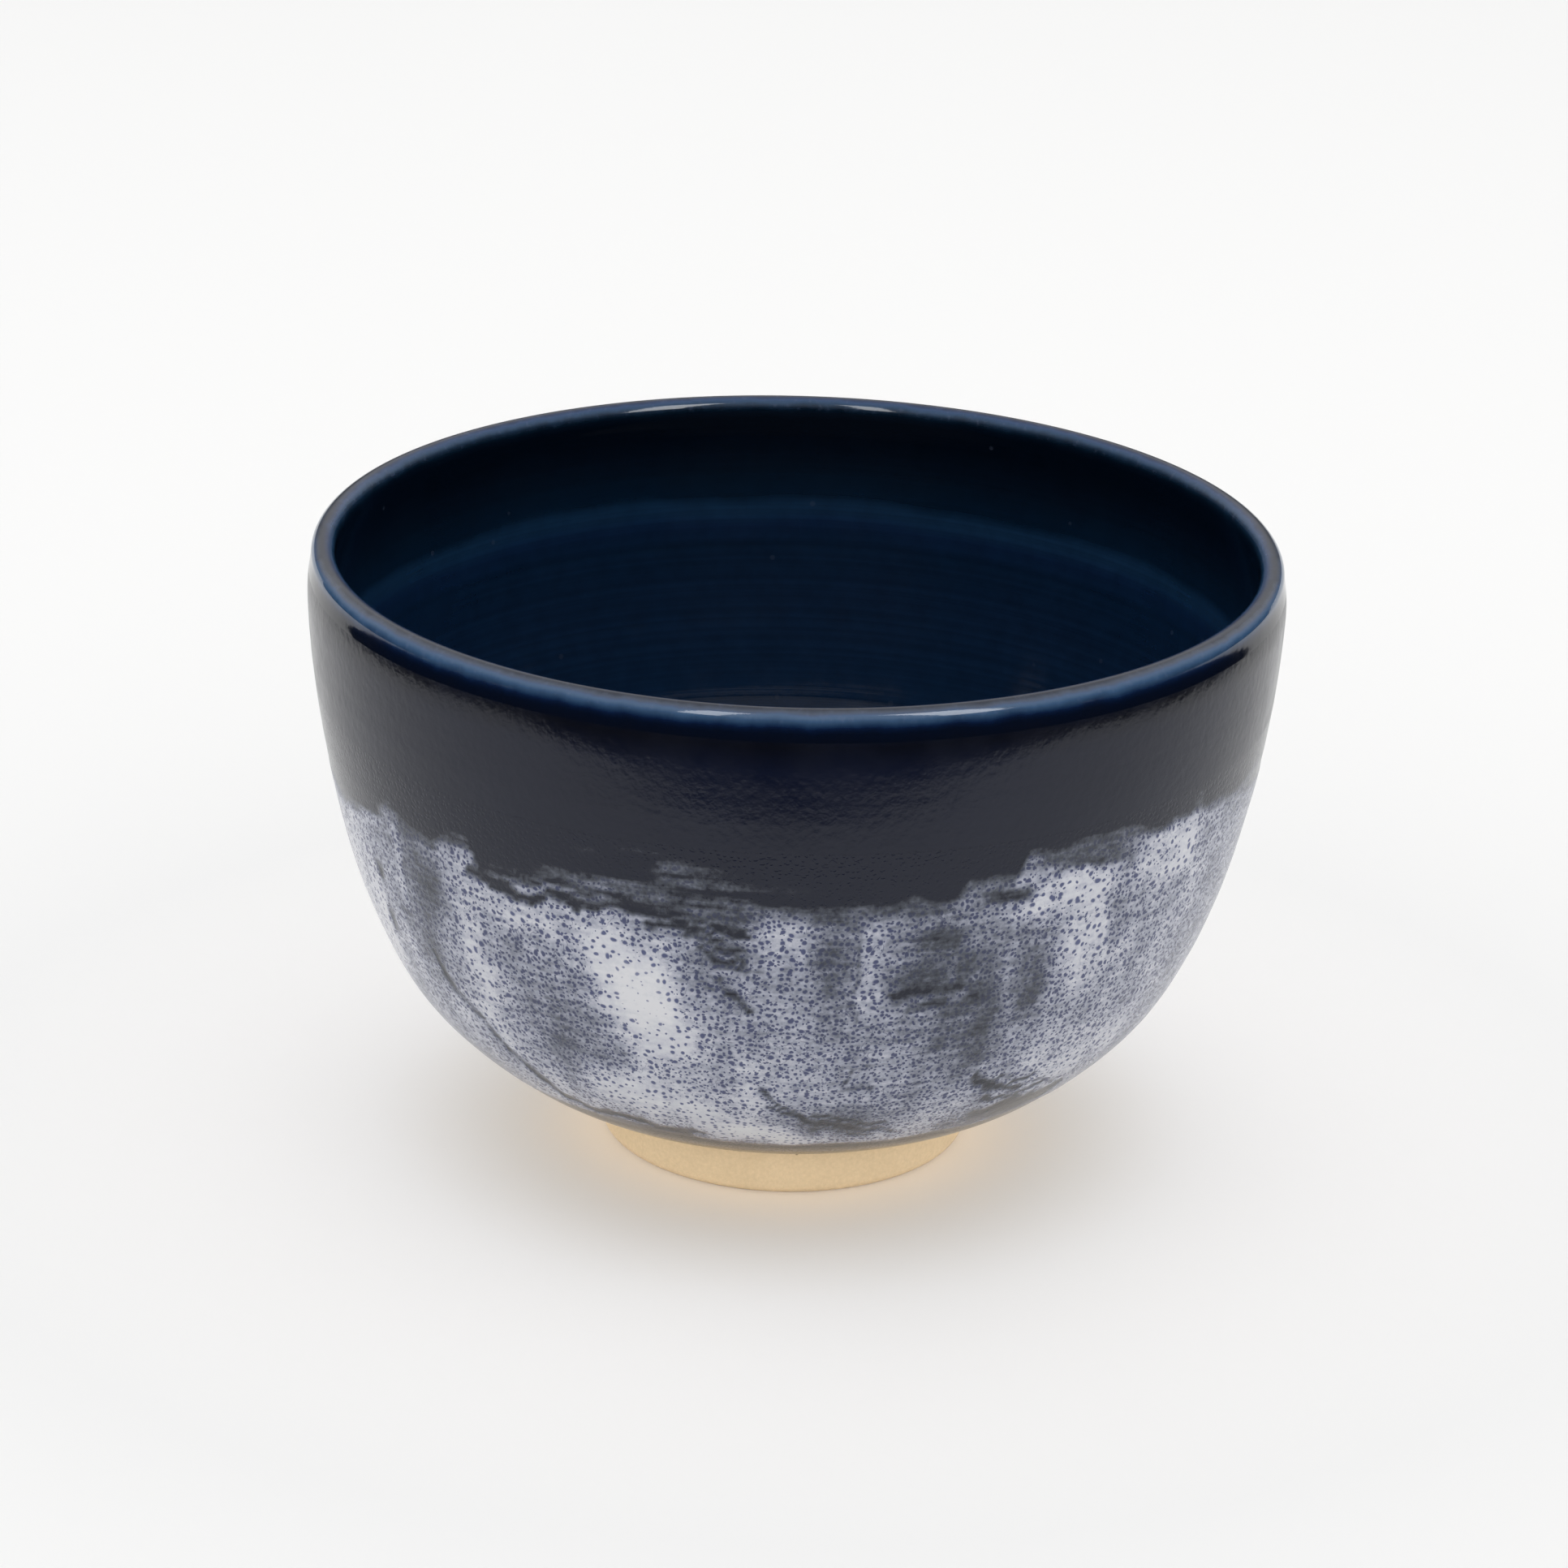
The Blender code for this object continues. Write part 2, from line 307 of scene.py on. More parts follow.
def brushed_sides():
    """Dabs for the sides and back, in the manner of the front: broad upright strokes, thick and thin."""
    draw = np.random.default_rng(7)
    dabs = []
    for centre in np.arange(84, 276, 8.5):
        middle, half_height = draw.uniform(28, 44), draw.uniform(7, 13)
        value = draw.choice([0.36, 0.48, 0.64, 0.80, 0.95])
        width, lean = draw.uniform(2.5, 7.0), draw.uniform(-0.2, 0.2)
        place, softness = centre + draw.uniform(-3, 3), draw.uniform(0.5, 0.9)
        dabs.append((place, middle, width, half_height, lean, value, softness))
    return dabs


ALL_DABS = (*DABS, *brushed_sides())


def lay_dabs(thick, a, h):
    """The coat after every dab has pulled it towards its own amount."""
    for centre, middle, half_width, half_height, lean, value, softness in ALL_DABS:
        across = np.abs(around(a, centre) - lean * (h - middle)) / half_width
        away = (across**3 + (np.abs(h - middle) / half_height) ** 3) ** (1 / 3)
        thick = thick + (value - thick) * (1 - soft_step(away, 1 - softness, 1 + softness * 0.4))
    return thick


def bare_strokes(azimuth, height, a, h):
    """How much the strokes take away, with a ragged edge."""
    taken = 0
    width_noise = 1 + 0.5 * ring_noise(azimuth, height, 120, 0.004, 8)
    feather = 1 + 0.75 * ring_noise(azimuth, height, 100, 0.0008, 15)
    for path, half_width, change in STROKES:
        nearest = np.full(np.shape(azimuth), np.inf)
        for (a0, h0), (a1, h1) in zip(path, path[1:]):
            along_a, along_h = a1 - a0, h1 - h0
            from_a, from_h = around(a, a0), h - h0
            share = np.clip((from_a * along_a + from_h * along_h) / (along_a**2 + along_h**2), 0, 1)
            nearest = np.minimum(nearest, np.hypot(from_a - share * along_a, from_h - share * along_h))
        width = half_width * width_noise
        taken = taken + change * feather * (1 - soft_step(nearest, 0.1 * width, 2.0 * width))
    return taken


def torn_top(azimuth, height, level, thick):
    """The coat cut off along the brushed top edge, with wisps left above it."""
    top = np.interp(around(azimuth, 0), *np.array(TOP_EDGE).T)
    top += 0.6 * ring_noise(azimuth, height, 150, 0.02, 9)
    below = top - level
    streak = 0.6 * ring_noise(azimuth, height, 60, 0.0009, 10)
    streak += 0.5 * ring_noise(azimuth, height, 36, 0.0017, 11)
    solid = soft_step(below + 1.1 * streak, -0.9, 2.1)
    veil = np.interp(around(azimuth, 0), *np.array(TOP_VEIL).T)
    wisps = 1.5 * veil * soft_step(streak, -0.40, 0.50) * soft_step(below, -6.4, -2.0)
    wisps *= 0.75 + 0.25 * ring_noise(azimuth, height, 44, 0.0035, 14)
    return thick * solid + (1 - solid) * wisps


def coat_thickness(azimuth, height):
    """How much white glaze lies here: 0 is none, 0.5 is a thin veil full of spots, 1 is opaque."""
    level = height / MM
    a = azimuth + 0.9 * ring_noise(azimuth, height, 90, 0.0050, 1)
    a = a + 0.4 * ring_noise(azimuth, height, 300, 0.0018, 2)
    h = level + 0.8 * ring_noise(azimuth, height, 90, 0.0050, 3)
    h = h + 0.3 * ring_noise(azimuth, height, 300, 0.0018, 4)
    thick = lay_dabs(USUAL_COAT + 0.12 * ring_noise(azimuth, height, 26, 0.016, 5), a, h)
    thick += 0.07 * ring_noise(azimuth, height, 80, 0.006, 6)
    thick += 0.07 * ring_noise(azimuth, height, 200, 0.0025, 13)
    thick -= bare_strokes(azimuth, height, a, h)
    half_width = LOAD_HALF_WIDTH + LOAD_SWING * ring_noise(azimuth, height, 1, 0.009, 16)
    load = 1 - soft_step(np.abs(around(azimuth, LAST_LOAD)) / half_width, 0.08, 1.25)
    thick += (LOAD_COAT - thick) * load
    thick = torn_top(azimuth, height, level, np.maximum(thick, BARED_COAT))
    low = LOW_EDGE + 0.5 * ring_noise(azimuth, height, 40, 0.02, 12)
    return np.clip(thick * soft_step(level, low - 0.9, low + 0.5), 0, HEAVIEST_COAT)


# How the clay was thrown: fine rings and slow waves that every glaze piece shares, so that they stay in touch


def thrown(azimuth, height, travel):
    """How far the surface stands out from the even outline. The lip and the foot end are calm."""
    inside, reach = travel < CREST, np.abs(travel - CREST)
    rings = np.where(inside, 0.000035, 0.000012) * ring_noise(azimuth, reach, 5, 0.0016, 21)
    rings += np.where(inside, 0.00006, 0.00003) * ring_noise(azimuth, reach, 4, 0.0047, 22)
    waves = 0.00006 * ring_noise(azimuth, height * 0 + 0.02, 9, 0.03, 23)
    calm = soft_step(reach, 0.001, 0.006) * soft_step(height, 0.008, 0.020)
    return rings * calm + waves * soft_step(height, 0.010, 0.040)


# Meshes

SHARP_ABOVE = 35


def faces_between(rows, columns, loop):
    """Quads between rows of vertices that close round the bowl. In a loop the last row meets the first."""
    row = np.arange(rows if loop else rows - 1)[:, None]
    column = np.arange(columns)[None, :]
    above, beside = (row + 1) % rows, (column + 1) % columns
    this_row, next_row = row * columns, above * columns
    corners = [this_row + column, this_row + beside, next_row + beside, next_row + column]
    return np.stack(corners, axis=-1).reshape(-1, 4)


def ring_of_points(azimuth, radius, height):
    """Points round the axis at this azimuth, in degrees."""
    turn = np.radians(azimuth)
    return np.stack([radius * np.sin(turn), -radius * np.cos(turn), height + 0 * turn], axis=-1)


def turned(name, face, back, columns, lift=None, pole=False):
    """A closed shell: face and back are (travel, depth, points), both read from the start of the outline.

    With a pole, both sides close on the axis. lift(azimuth, height, travel) raises the face.
    """
    azimuth = np.linspace(-180, 180, columns, endpoint=False)
    sides = []
    for travel, depth, line in (face, back):
        spread_azimuth, spread_travel = np.meshgrid(azimuth, travel)
        spread_height = np.broadcast_to(line[:, 1][:, None], spread_azimuth.shape)
        grid = spread_azimuth, spread_height, spread_travel
        out = thrown(*grid) - np.broadcast_to(depth, len(travel))[:, None]
        if lift is not None and line is face[2]:
            out = out + lift(*grid)
        normal = at_travel(travel, NORMALS)
        radius = line[:, 0][:, None] + out * normal[:, 0][:, None]
        height = line[:, 1][:, None] + out * normal[:, 1][:, None]
        sides.append(ring_of_points(spread_azimuth, radius, height))
    rows = np.concatenate([sides[0], sides[1][::-1]])
    travels = np.concatenate([face[0], back[0][::-1]])
    return close_up(name, rows, travels, columns, pole)


def close_up(name, rows, travels, columns, pole):
    """A mesh from rows of points. With a pole, the first and last rows shrink to one point each.

    It stores how far each point lies past the crest of the lip, in millimetres, as "reach".
    """
    count = len(rows)
    if pole:
        inner = rows[1:-1].reshape(-1, 3)
        points = np.concatenate([inner, [rows[0].mean(axis=0)], [rows[-1].mean(axis=0)]])
        quads = faces_between(count - 2, columns, loop=False)
        last = (count - 3) * columns
        start, end = len(inner), len(inner) + 1
        faces = quads[:, ::-1].tolist()
        ring = [(here, (here + 1) % columns) for here in range(columns)]
        faces += [(here, beside, start) for here, beside in ring]
        faces += [(beside + last, here + last, end) for here, beside in ring]
        reach = np.concatenate([np.repeat(travels[1:-1], columns), [travels[0], travels[-1]]])
    else:
        points = rows.reshape(-1, 3)
        faces = faces_between(count, columns, loop=True)[:, ::-1].tolist()
        reach = np.repeat(travels, columns)
    mesh = bpy.data.meshes.new(name)
    mesh.from_pydata(points.tolist(), [], faces)
    mesh.update()
    stored = mesh.attributes.new("reach", "FLOAT", "POINT")
    stored.data.foreach_set("value", ((reach - CREST) / MM).astype(np.float32))
    obj = bpy.data.objects.new(name, mesh)
    bpy.context.scene.collection.objects.link(obj)
    return obj


def side(start, end, count, depth=0.0):
    """(travels, depth, points of the outline) at even steps."""
    travels = np.linspace(start, end, count)
    return travels, depth, at_travel(travels, OUTLINE)


def finish_mesh(obj):
    obj.data.shade_smooth()
    obj.data.set_sharp_from_angle(angle=math.radians(SHARP_ABOVE))


# Materials


class Finish:
    """A node-based material."""

    def __init__(self, name):
        self.material = bpy.data.materials.new(name)
        self.material.use_nodes = True
        self.tree = self.material.node_tree
        self.shader = self.tree.nodes["Principled BSDF"]
        self.place = self.node("TexCoord").outputs["Object"]

    def node(self, kind, inputs=(), **settings):
        made = self.tree.nodes.new("ShaderNode" + kind)
        for key, value in settings.items():
            setattr(made, key, value)
        for key, value in dict(inputs).items():
            self.put(made.inputs[key], value)
        return made

    def put(self, socket, value):
        if isinstance(value, bpy.types.NodeSocket):
            self.tree.links.new(value, socket)
        elif isinstance(value, tuple) and len(value) == 3 and socket.type == "RGBA":
            socket.default_value = (*value, 1)
        else:
            socket.default_value = value

    def attribute(self, name):
        return self.node("Attribute", attribute_name=name).outputs["Fac"]

    def math(self, operation, a, b=0.0):
        return self.node("Math", {0: a, 1: b}, operation=operation).outputs[0]

    def fit(self, value, low, high, to_low=0.0, to_high=1.0, kind="SMOOTHSTEP"):
        inputs = {"Value": value, "From Min": low, "From Max": high, "To Min": to_low, "To Max": to_high}
        return self.node("MapRange", inputs, interpolation_type=kind).outputs["Result"]

    def stretched(self, stretch):
        return self.node("VectorMath", {0: self.place, 1: stretch}, operation="MULTIPLY").outputs[0]

    def noise(self, size, detail=2.0, rough=0.5, stretch=(1, 1, 1)):
        """Noise whose cells are about this size, in metres."""
        inputs = {"Scale": 1 / size, "Detail": detail, "Roughness": rough}
        inputs["Vector"] = self.place if stretch == (1, 1, 1) else self.stretched(stretch)
        return self.node("TexNoise", inputs).outputs["Fac"]

    def flat_noise(self, place, scale, detail):
        return self.node("TexNoise", {"Vector": place, "Scale": scale, "Detail": detail}, noise_dimensions="2D")

    def scaled(self, vector, share):
        return self.node("VectorMath", {0: vector, "Scale": share}, operation="SCALE").outputs[0]

    def mix(self, share, a, b):
        return self.node("Mix", {0: share, 6: a, 7: b}, data_type="RGBA").outputs[2]

    def ramp(self, value, stops):
        """Colour by value, from (position, colour) pairs whose positions may be in any range."""
        low, high = stops[0][0], stops[-1][0]
        made = self.node("ValToRGB", {"Fac": self.fit(value, low, high, kind="LINEAR")})
        elements = made.color_ramp.elements
        while len(elements) < len(stops):
            elements.new(0.5)
        for element, (position, colour) in zip(elements, stops):
            element.position = (position - low) / (high - low)
            element.color = (*colour, 1)
        return made.outputs["Color"]

    def bump(self, height, distance, below=None):
        inputs = {"Height": height, "Distance": distance}
        if below is not None:
            inputs["Normal"] = below
        return self.node("Bump", inputs).outputs["Normal"]

    def wear(self, obj, colour, roughness, normal):
        self.put(self.shader.inputs["Base Color"], colour)
        self.put(self.shader.inputs["Roughness"], roughness)
        self.put(self.shader.inputs["Normal"], normal)
        self.shader.inputs["IOR"].default_value = 1.42
        obj.data.materials.clear()
        obj.data.materials.append(self.material)


# The dark glaze over the lip, by millimetres from its crest: outside is positive
CHARCOAL = (0.0018, 0.0034, 0.0113)
LIP_COLOURS = (
    (-6.0, (0.0005, 0.0017, 0.0042)),
    (-3.4, (0.0004, 0.0016, 0.0040)),
    (-2.6, (0.0008, 0.0030, 0.0070)),
    (-2.28, (0.0015, 0.0056, 0.0123)),
    (-1.94, (0.0042, 0.0118, 0.0255)),
    (-1.6, (0.0060, 0.0215, 0.0480)),
    (-1.24, (0.0170, 0.0450, 0.0960)),
    (-0.85, (0.0240, 0.0520, 0.1200)),
    (-0.45, (0.0120, 0.0260, 0.0700)),
    (-0.1, (0.0060, 0.0120, 0.0330)),
    (0.25, (0.0080, 0.0120, 0.0260)),
    (0.45, (0.0180, 0.0240, 0.0390)),
    (0.68, (0.0380, 0.0480, 0.0720)),
    (0.88, (0.0500, 0.0640, 0.0950)),
    (1.08, (0.0470, 0.0680, 0.1180)),
    (1.28, (0.0440, 0.0780, 0.1440)),
    (1.48, (0.0400, 0.0760, 0.1370)),
    (1.85, (0.0230, 0.0520, 0.1060)),
    (2.05, (0.0180, 0.0400, 0.0800)),
    (2.27, (0.0110, 0.0280, 0.0620)),
    (2.5, (0.0054, 0.0155, 0.0420)),
    (2.72, (0.0020, 0.0068, 0.0240)),
    (3.0, (0.0013, 0.0040, 0.0140)),
    (3.4, (0.0010, 0.0026, 0.0080)),
    (5.0, (0.0012, 0.0018, 0.0045)),
    (8.0, CHARCOAL),
)
# The navy lining, by millimetres from the crest: dark under the lip, with a pale ring of painted light about 15
# mm below the crest
LINING_COLOURS_AND_PAINTED_RING = (
    (-60.0, (0.0050, 0.0200, 0.0550)),
    (-40.0, (0.0048, 0.0193, 0.0529)),
    (-28.0, (0.0040, 0.0140, 0.0386)),
    (-20.4, (0.0024, 0.0103, 0.0286)),
    # Painted light: the pale ring, from -18 to -15.4 mm
    (-18.0, (0.0032, 0.0120, 0.0370)),
    (-16.4, (0.0045, 0.0180, 0.0450)),
    (-15.4, (0.0050, 0.0195, 0.0480)),
    (-14.0, (0.0015, 0.0075, 0.0190)),
    (-11.0, (0.0012, 0.0047, 0.0112)),
    (-8.7, (0.0010, 0.0031, 0.0073)),
    (-6.0, (0.0005, 0.0017, 0.0042)),
    (-4.4, (0.0004, 0.0016, 0.0040)),
)


def lip_colours(finish):
    """The glaze breaks pale over the crest, is mid blue beside it and pools dark under the lip."""
    uneven = finish.fit(finish.noise(0.004, 3, 0.6), 0.3, 0.7, -0.2, 0.2, "LINEAR")
    return finish.ramp(finish.math("ADD", finish.attribute("reach"), uneven), LIP_COLOURS)


def orange_peel(finish, fine, coarse):
    """The soft unevenness of a poured glaze: fine pits over slow upright ripples."""
    ripples = finish.bump(finish.noise(0.0042, 3, 0.55, stretch=(1, 1, 0.7)), coarse)
    return finish.bump(finish.noise(0.0010, 2, 0.5), fine, below=ripples)


def paint_dark(obj):
    finish = Finish("dark_satin_glaze")
    base = lip_colours(finish)
    cloud = finish.noise(0.012, 3, 0.6)
    base = finish.mix(finish.fit(cloud, 0.35, 0.75, 0, 0.40), base, (0.0038, 0.0062, 0.0165))
    base = low_glaze_edge(finish, base)
    rough = finish.fit(finish.noise(0.006, 3, 0.6), 0.3, 0.7, 0.17, 0.24)
    finish.wear(obj, base, rough, orange_peel(finish, 0.000038, 0.000024))


def low_glaze_edge(finish, base):
    """Near the foot the dark coat is thin over the clay, and turns to a dry grey-brown."""
    radius = finish.node("VectorMath", {0: finish.stretched((1, 1, 0))}, operation="LENGTH").outputs["Value"]
    height = finish.node("SeparateXYZ", {0: finish.place}).outputs["Z"]
    low = finish.fit(height, 0.0155, 0.0125)
    ragged = finish.math("ADD", radius, finish.fit(finish.noise(0.003), 0.3, 0.7, -0.0006, 0.0006))
    thin = finish.fit(ragged, 0.0315, 0.0288)
    dry = finish.mix(thin, (0.042, 0.038, 0.034), (0.108, 0.088, 0.064))
    speckle = finish.fit(finish.noise(0.0006, 2), 0.45, 0.65, 0, 0.5)
    dry = finish.mix(speckle, dry, (0.045, 0.042, 0.042))
    return finish.mix(low, base, dry)


# The white coat's colour by how much of it lies there, from the bare dark coat to opaque
WHITE_TONES = (
    (0.0, (0.0030, 0.0038, 0.0085)),
    (0.10, (0.012, 0.014, 0.022)),
    (0.22, (0.036, 0.041, 0.053)),
    (0.36, (0.086, 0.094, 0.122)),
    (0.55, (0.213, 0.225, 0.272)),
    (0.75, (0.358, 0.366, 0.404)),
    (1.0, (0.445, 0.447, 0.464)),
)
# The colour of its spots, by how much lies round them
SPOT_TONES = (
    (0.0, (0.010, 0.011, 0.016)),
    (0.30, (0.020, 0.025, 0.052)),
    (0.60, (0.021, 0.028, 0.080)),
    (1.0, (0.050, 0.064, 0.155)),
)
# Two layers of spots: spacing in mm, scatter, and pairs of coat amount and spot size
SPOT_LAYERS = (
    (1.22, 0.88, ((0.40, 0.10), (0.58, 0.25), (0.86, 0.23), (1.12, 0.0))),
    (0.75, 0.90, ((0.10, 0.32), (0.45, 0.32), (0.66, 0.20), (0.80, 0.0))),
)


def spot_layer(finish, roll, thick, spacing, scatter, sizes):
    """Round spots: 1 inside one, 0 between them."""
    scale = {"Vector": roll, "Scale": 1 / spacing, "Randomness": scatter}
    cells = finish.node("TexVoronoi", scale, voronoi_dimensions="2D")
    own = finish.node("SeparateColor", {0: cells.outputs["Color"]}).outputs[0]
    low, high = sizes[0][0], sizes[-1][0]
    curve = finish.node("FloatCurve", {"Value": finish.fit(thick, low, high, kind="LINEAR")})
    points = curve.mapping.curves[0].points
    for _ in sizes[2:]:
        points.new(0.5, 0.5)
    for point, (position, size) in zip(points, sizes):
        point.location = ((position - low) / (high - low), size)
        point.handle_type = "VECTOR"
    curve.mapping.update()
    size = finish.math("MULTIPLY", curve.outputs["Value"], finish.fit(own, 0, 1, 0.45, 1.25, "LINEAR"))
    inner = finish.math("MULTIPLY", size, 0.65)
    outer = finish.math("ADD", finish.math("MULTIPLY", size, 1.25), 0.03)
    spot = finish.fit(cells.outputs["Distance"], outer, inner)
    return finish.math("MULTIPLY", spot, finish.fit(size, 0.03, 0.10))


def paint_white(obj):
    """Opaque where thick; as it thins, navy spots open, crowd together and give way to the dark coat."""
    finish = Finish("white_brushed_glaze")
    thick = finish.attribute("coat")
    fine_grain = finish.noise(0.0007, 3, 0.6)
    streaks = finish.noise(0.0012, 2, 0.5, stretch=(0.25, 0.25, 1.5))
    uneven = finish.math(
        "ADD",
        finish.fit(fine_grain, 0.3, 0.7, -0.09, 0.09, "LINEAR"),
        finish.fit(streaks, 0.3, 0.7, -0.08, 0.08, "LINEAR"),
    )
    amount = finish.math("ADD", thick, finish.math("MULTIPLY", uneven, finish.fit(thick, 0.0, 0.16)))
    roll = finish.node("UVMap", uv_map="roll").outputs["UV"]
    bend = finish.flat_noise(roll, 0.45, 1.0).outputs["Color"]
    bend = finish.node("VectorMath", {0: bend, 1: (0.5, 0.5, 0.5)}, operation="SUBTRACT").outputs[0]
    bend = finish.scaled(bend, 0.8)
    roll = finish.node("VectorMath", {0: roll, 1: bend}, operation="ADD").outputs[0]
    body = finish.ramp(amount, WHITE_TONES)
    spots = finish.math("MAXIMUM", *(spot_layer(finish, roll, thick, *layer) for layer in SPOT_LAYERS))
    ridge = finish.flat_noise(roll, 0.42, 2.0).outputs["Fac"]
    vein = finish.fit(finish.math("ABSOLUTE", finish.math("SUBTRACT", ridge, 0.5)), 0.022, 0.004)
    vein = finish.math("MULTIPLY", vein, finish.fit(thick, 0.80, 0.62))
    vein = finish.math("MULTIPLY", vein, finish.fit(finish.noise(0.0045, 1), 0.45, 0.60, 0, 0.7))
    spots = finish.math("MAXIMUM", spots, vein)
    strength = finish.math("MULTIPLY", spots, finish.fit(thick, 0.08, 0.30, 0, 0.94))
    strength = finish.math("MULTIPLY", strength, finish.fit(thick, 1.02, 0.80, 0.72, 1.0))
    colour = finish.mix(strength, body, finish.ramp(thick, SPOT_TONES))
    bare = finish.fit(amount, 0.16, 0.04)
    colour = finish.mix(bare, colour, low_glaze_edge(finish, CHARCOAL))
    relief = finish.math("SUBTRACT", finish.fit(amount, 0.0, 0.9), finish.math("MULTIPLY", spots, 0.35))
    normal = finish.bump(relief, 0.00004, below=orange_peel(finish, 0.000012, 0.000040))
    rough = finish.fit(amount, 0.05, 0.5, 0.16, 0.22)
    finish.wear(obj, colour, rough, normal)


def paint_inside(obj):
    finish = Finish("navy_gloss_glaze")
    reach = finish.attribute("reach")
    wander = finish.fit(finish.noise(0.020, 2), 0.3, 0.7, -0.5, 0.5, "LINEAR")
    depth = finish.math("ADD", reach, wander)
    # The ramp carries the pale ring of painted light as well as the lining's own colour
    base = finish.ramp(depth, LINING_COLOURS_AND_PAINTED_RING)
    along = {"W": finish.math("MULTIPLY", reach, 1.1), "Detail": 3.0, "Scale": 1.0}
    rings = finish.node("TexNoise", along, noise_dimensions="1D")
    band = finish.fit(rings.outputs["Fac"], 0.35, 0.7, 0.90, 1.12, "LINEAR")
    mottled = finish.fit(finish.noise(0.003, 3, 0.6), 0.3, 0.7, 0.9, 1.12, "LINEAR")
    share = finish.math("MULTIPLY", band, mottled)
    shade = finish.scaled(base, share)
    pits = finish.node("TexVoronoi", {"Vector": finish.place, "Scale": 1 / 0.0065, "Randomness": 1.0})
    pit = finish.fit(pits.outputs["Distance"], 0.07, 0.04)
    shade = finish.mix(finish.math("MULTIPLY", pit, 0.2), shade, (0.05, 0.06, 0.09))
    normal = finish.bump(rings.outputs["Fac"], 0.00002, below=orange_peel(finish, 0.000006, 0.00003))
    rough = finish.fit(finish.noise(0.005, 3, 0.6), 0.3, 0.7, 0.06, 0.12)
    finish.wear(obj, shade, rough, normal)


def paint_lip(obj):
    finish = Finish("lip_blue_glaze")
    base = lip_colours(finish)
    middle = finish.fit(finish.math("ABSOLUTE", finish.attribute("reach")), 2.6, 1.6)
    fleck = finish.fit(finish.noise(0.0009, 2), 0.55, 0.75, 0, 0.15)
    base = finish.mix(finish.math("MULTIPLY", fleck, middle), base, (0.09, 0.11, 0.18))
    rough = finish.fit(finish.noise(0.004, 2), 0.3, 0.7, 0.06, 0.10)
    finish.wear(obj, base, rough, orange_peel(finish, 0.000006, 0.00002))


# The clay's colour by a slow noise
CLAY_TONES = ((0.3, (0.515, 0.398, 0.250)), (0.5, (0.530, 0.411, 0.260)), (0.7, (0.545, 0.424, 0.271)))


def paint_clay(obj, name):
    """Bare cream stoneware: fine grain, a few dark iron specks, the tool's turning lines, and painted shade
    that darkens it towards the top, under the belly.
    """
    finish = Finish(name)
    base = finish.ramp(finish.noise(0.007, 4, 0.6), CLAY_TONES)
    height = finish.node("SeparateXYZ", {0: finish.place}).outputs["Z"]
    # Painted shade: the clay is darker towards the top of the foot, where the belly overhangs it, and paler low
    # down.
    painted_shade = finish.fit(height, 0.0115, 0.0030, 0.84, 1.08)
    base = finish.scaled(base, painted_shade)
    grain = finish.fit(finish.noise(0.0005, 3, 0.7), 0.35, 0.7, 0.92, 1.05, "LINEAR")
    base = finish.scaled(base, grain)
    specks = finish.node("TexVoronoi", {"Vector": finish.place, "Scale": 1 / 0.0019, "Randomness": 1.0})
    own = finish.node("SeparateColor", {0: specks.outputs["Color"]}).outputs[0]
    size = finish.fit(own, 0.6, 1.0, 0.0, 0.11, "LINEAR")
    speck = finish.fit(specks.outputs["Distance"], size, finish.math("MULTIPLY", size, 0.6))
    speck = finish.math("MULTIPLY", speck, finish.fit(own, 0.6, 0.75, 0, 0.75))
    base = finish.mix(speck, base, (0.10, 0.060, 0.035))
    turning = finish.noise(0.0009, 2, 0.5, stretch=(0.05, 0.05, 1))
    rough_grain = finish.bump(finish.noise(0.0004, 3, 0.7), 0.00005)
    normal = finish.bump(turning, 0.00006, below=rough_grain)
    finish.wear(obj, base, 0.85, normal)


# Pieces


def stands_for(obj, node):
    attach(obj, "root")
    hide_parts(node)


def add_inner_glaze():
    face = side(0, LIP_START, 150)
    back = side(0, LIP_START, 24, depth=COAT)
    obj = turned("inner_navy_glaze", face, back, LINING_COLUMNS, pole=True)
    finish_mesh(obj)
    paint_inside(obj)
    stands_for(obj, "inner_glaze")


def add_lip_glaze():
    face = side(LIP_START, LIP_END, 60)
    back = side(LIP_START, LIP_END, 16, depth=COAT)
    obj = turned("lip_breaking_glaze", face, back, LIP_COLUMNS)
    finish_mesh(obj)
    paint_lip(obj)
    stands_for(obj, "lip_glaze")


def add_dark_glaze():
    """Full size above the white coat, beneath it lower down, and showing again under the belly."""
    high, low, end = outside_at(WHITE_MESH_TOP), under_at(WHITE_MESH_LOW_RADIUS), under_at(DARK_END_RADIUS)
    tuck = 0.0002
    travels = np.concatenate(
        [
            np.linspace(LIP_END, high, 60),
            [high + tuck],
            np.linspace(high + 2 * tuck, low - 2 * tuck, 50),
            [low - tuck],
            np.linspace(low, end, 24),
        ]
    )
    under_white = COAT * ((travels > high + 1.5 * tuck) & (travels < low - 1.5 * tuck))
    bead = -0.00012 * soft_step(travels, end - 0.0016, end - 0.0007)
    roll_off = 0.0004 * soft_step(travels, end - 0.0007, end) ** 2
    face = travels, under_white + bead + roll_off, at_travel(travels, OUTLINE)
    back_travels = np.linspace(LIP_END, end, 30)
    back = back_travels, 2 * COAT, at_travel(back_travels, OUTLINE)
    obj = turned("outer_dark_satin_glaze", face, back, DARK_COLUMNS)
    finish_mesh(obj)
    paint_dark(obj)
    stands_for(obj, "outer_dark_glaze")


